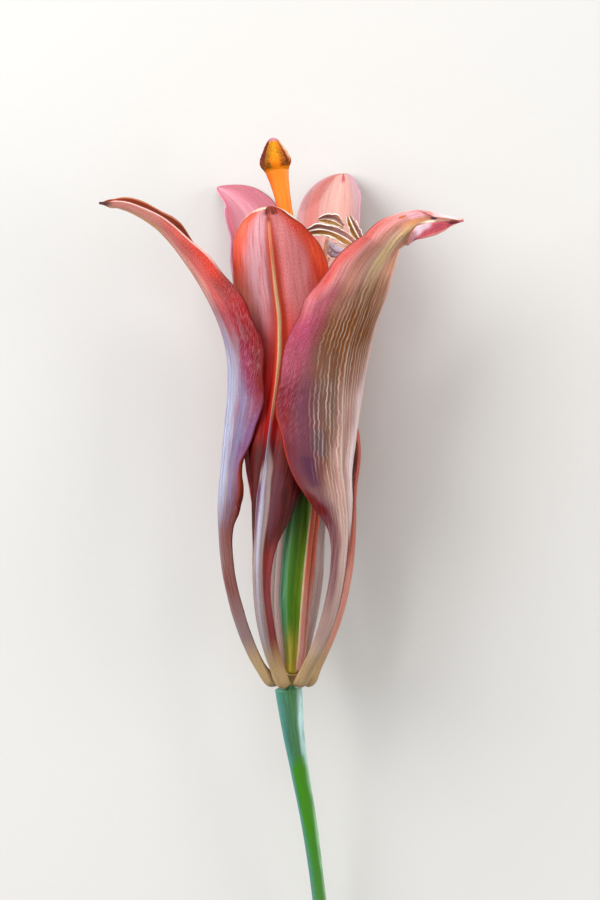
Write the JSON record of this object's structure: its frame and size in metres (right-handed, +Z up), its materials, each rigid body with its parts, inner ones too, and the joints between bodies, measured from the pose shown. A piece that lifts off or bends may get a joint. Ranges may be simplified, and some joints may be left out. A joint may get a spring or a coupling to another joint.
{
  "type": "wood lily flower",
  "caption": "Cut wood lily flower past its best, lying on its back, on a leafless stem: clawed tepals curled round a ribbed ovary, a long style with a lobed stigma, and dried anthers.",
  "frame": {"origin": "the small flat patch of the back sepal that lies on the surface", "axes": "+Y along the flower from the cut end of the stem to the stigma, +Z up from the surface it lies on"},
  "size_m": [0.05, 0.137, 0.0322],
  "materials": {
    "sepal": "soft, velvety, finely veined",
    "petal": "soft, velvety, finely veined",
    "stem": "waxy bloom",
    "ovary": "smooth, waxy bloom",
    "style": "smooth, slightly shiny",
    "stigma": "rough with fine papillae",
    "filament": "smooth",
    "anther": "dried, papery"
  },
  "bodies": {
    "root": {"sepal_left": "sepal", "petal_front": "petal", "sepal_right": "sepal", "petal_back_right": "petal", "sepal_back": "sepal", "petal_back_left": "petal", "stem": "stem", "ovary": "ovary", "style": "style", "stigma": "stigma", "filament_1": "filament", "anther_1": "anther", "filament_2": "filament", "anther_2": "anther", "filament_3": "filament", "anther_3": "anther", "filament_4": "filament", "anther_4": "anther", "filament_5": "filament", "anther_5": "anther", "filament_6": "filament", "anther_6": "anther"}
  },
  "joints": []
}
